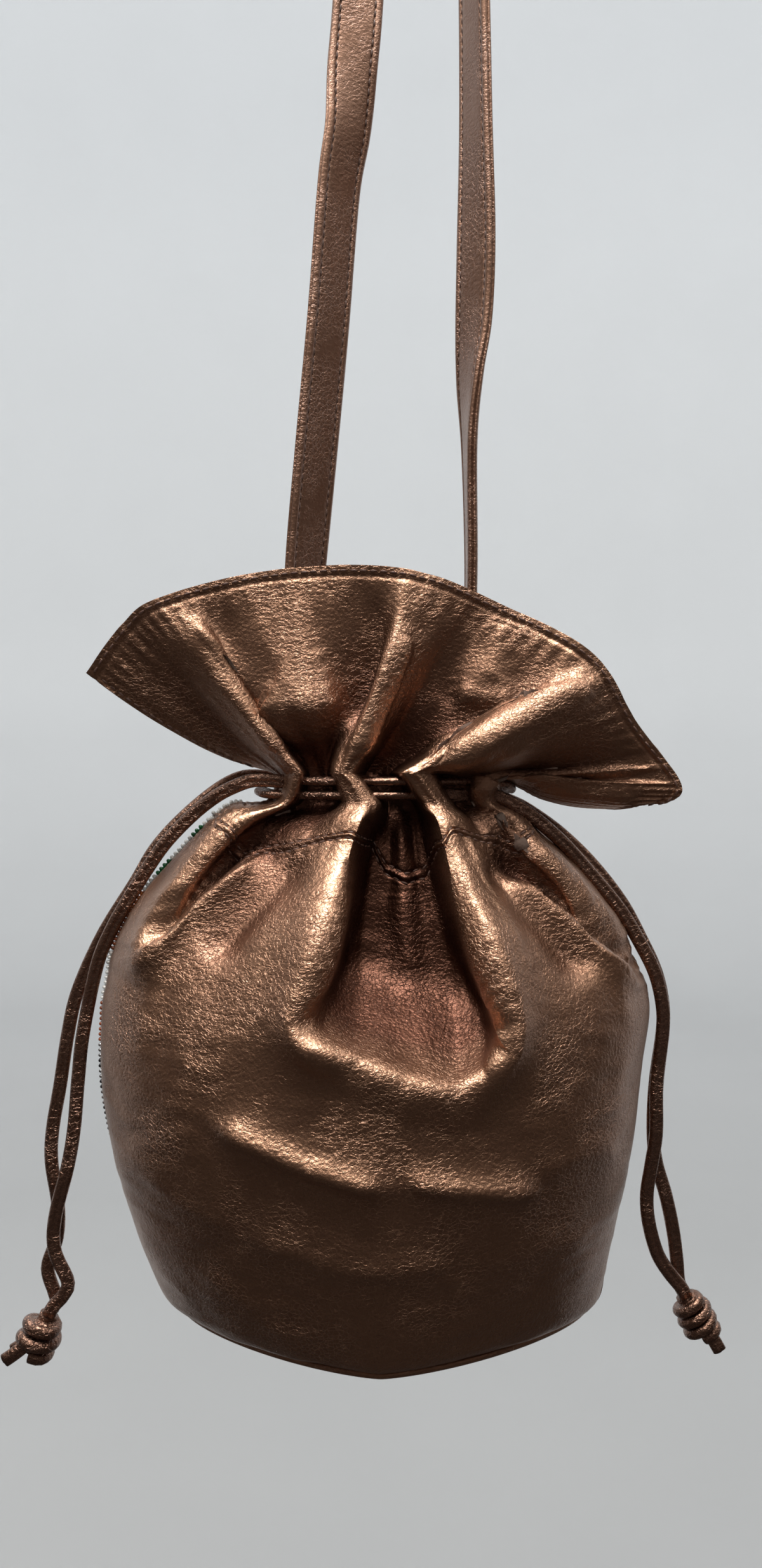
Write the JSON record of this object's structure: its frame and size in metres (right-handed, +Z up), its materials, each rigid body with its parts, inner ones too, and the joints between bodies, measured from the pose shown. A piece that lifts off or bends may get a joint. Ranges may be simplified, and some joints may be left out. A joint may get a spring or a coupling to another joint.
{
  "type": "drawstring purse",
  "caption": "Soft metallic leather drawstring purse with a gathered neck, flared ruffle flaps, knotted rolled cords and a long shoulder strap, hanging.",
  "frame": {"origin": "hang point: middle of the strap's inner face at the top of its loop, where a peg or hook carries the purse", "axes": "+Z up along the hanging purse; +X to the right seen from the plain side; the plain side faces -Y"},
  "size_m": [0.2626, 0.1372, 0.7825],
  "materials": {
    "panel_leather": "soft grained leather with a bronze metallic coat",
    "strap_leather": "brushed dark bronze leather",
    "cord_leather": "rolled bronze leather"
  },
  "bodies": {
    "root": {"near_panel": "panel_leather", "far_panel": "panel_leather", "base_panel": "panel_leather", "shoulder_strap": "strap_leather", "knot_left": "cord_leather", "knot_right": "cord_leather", "neck_cord_left": "cord_leather", "neck_cord_right": "cord_leather", "drawstring_left_near": "cord_leather", "drawstring_left_far": "cord_leather", "drawstring_right_near": "cord_leather", "drawstring_right_far": "cord_leather"}
  },
  "joints": []
}
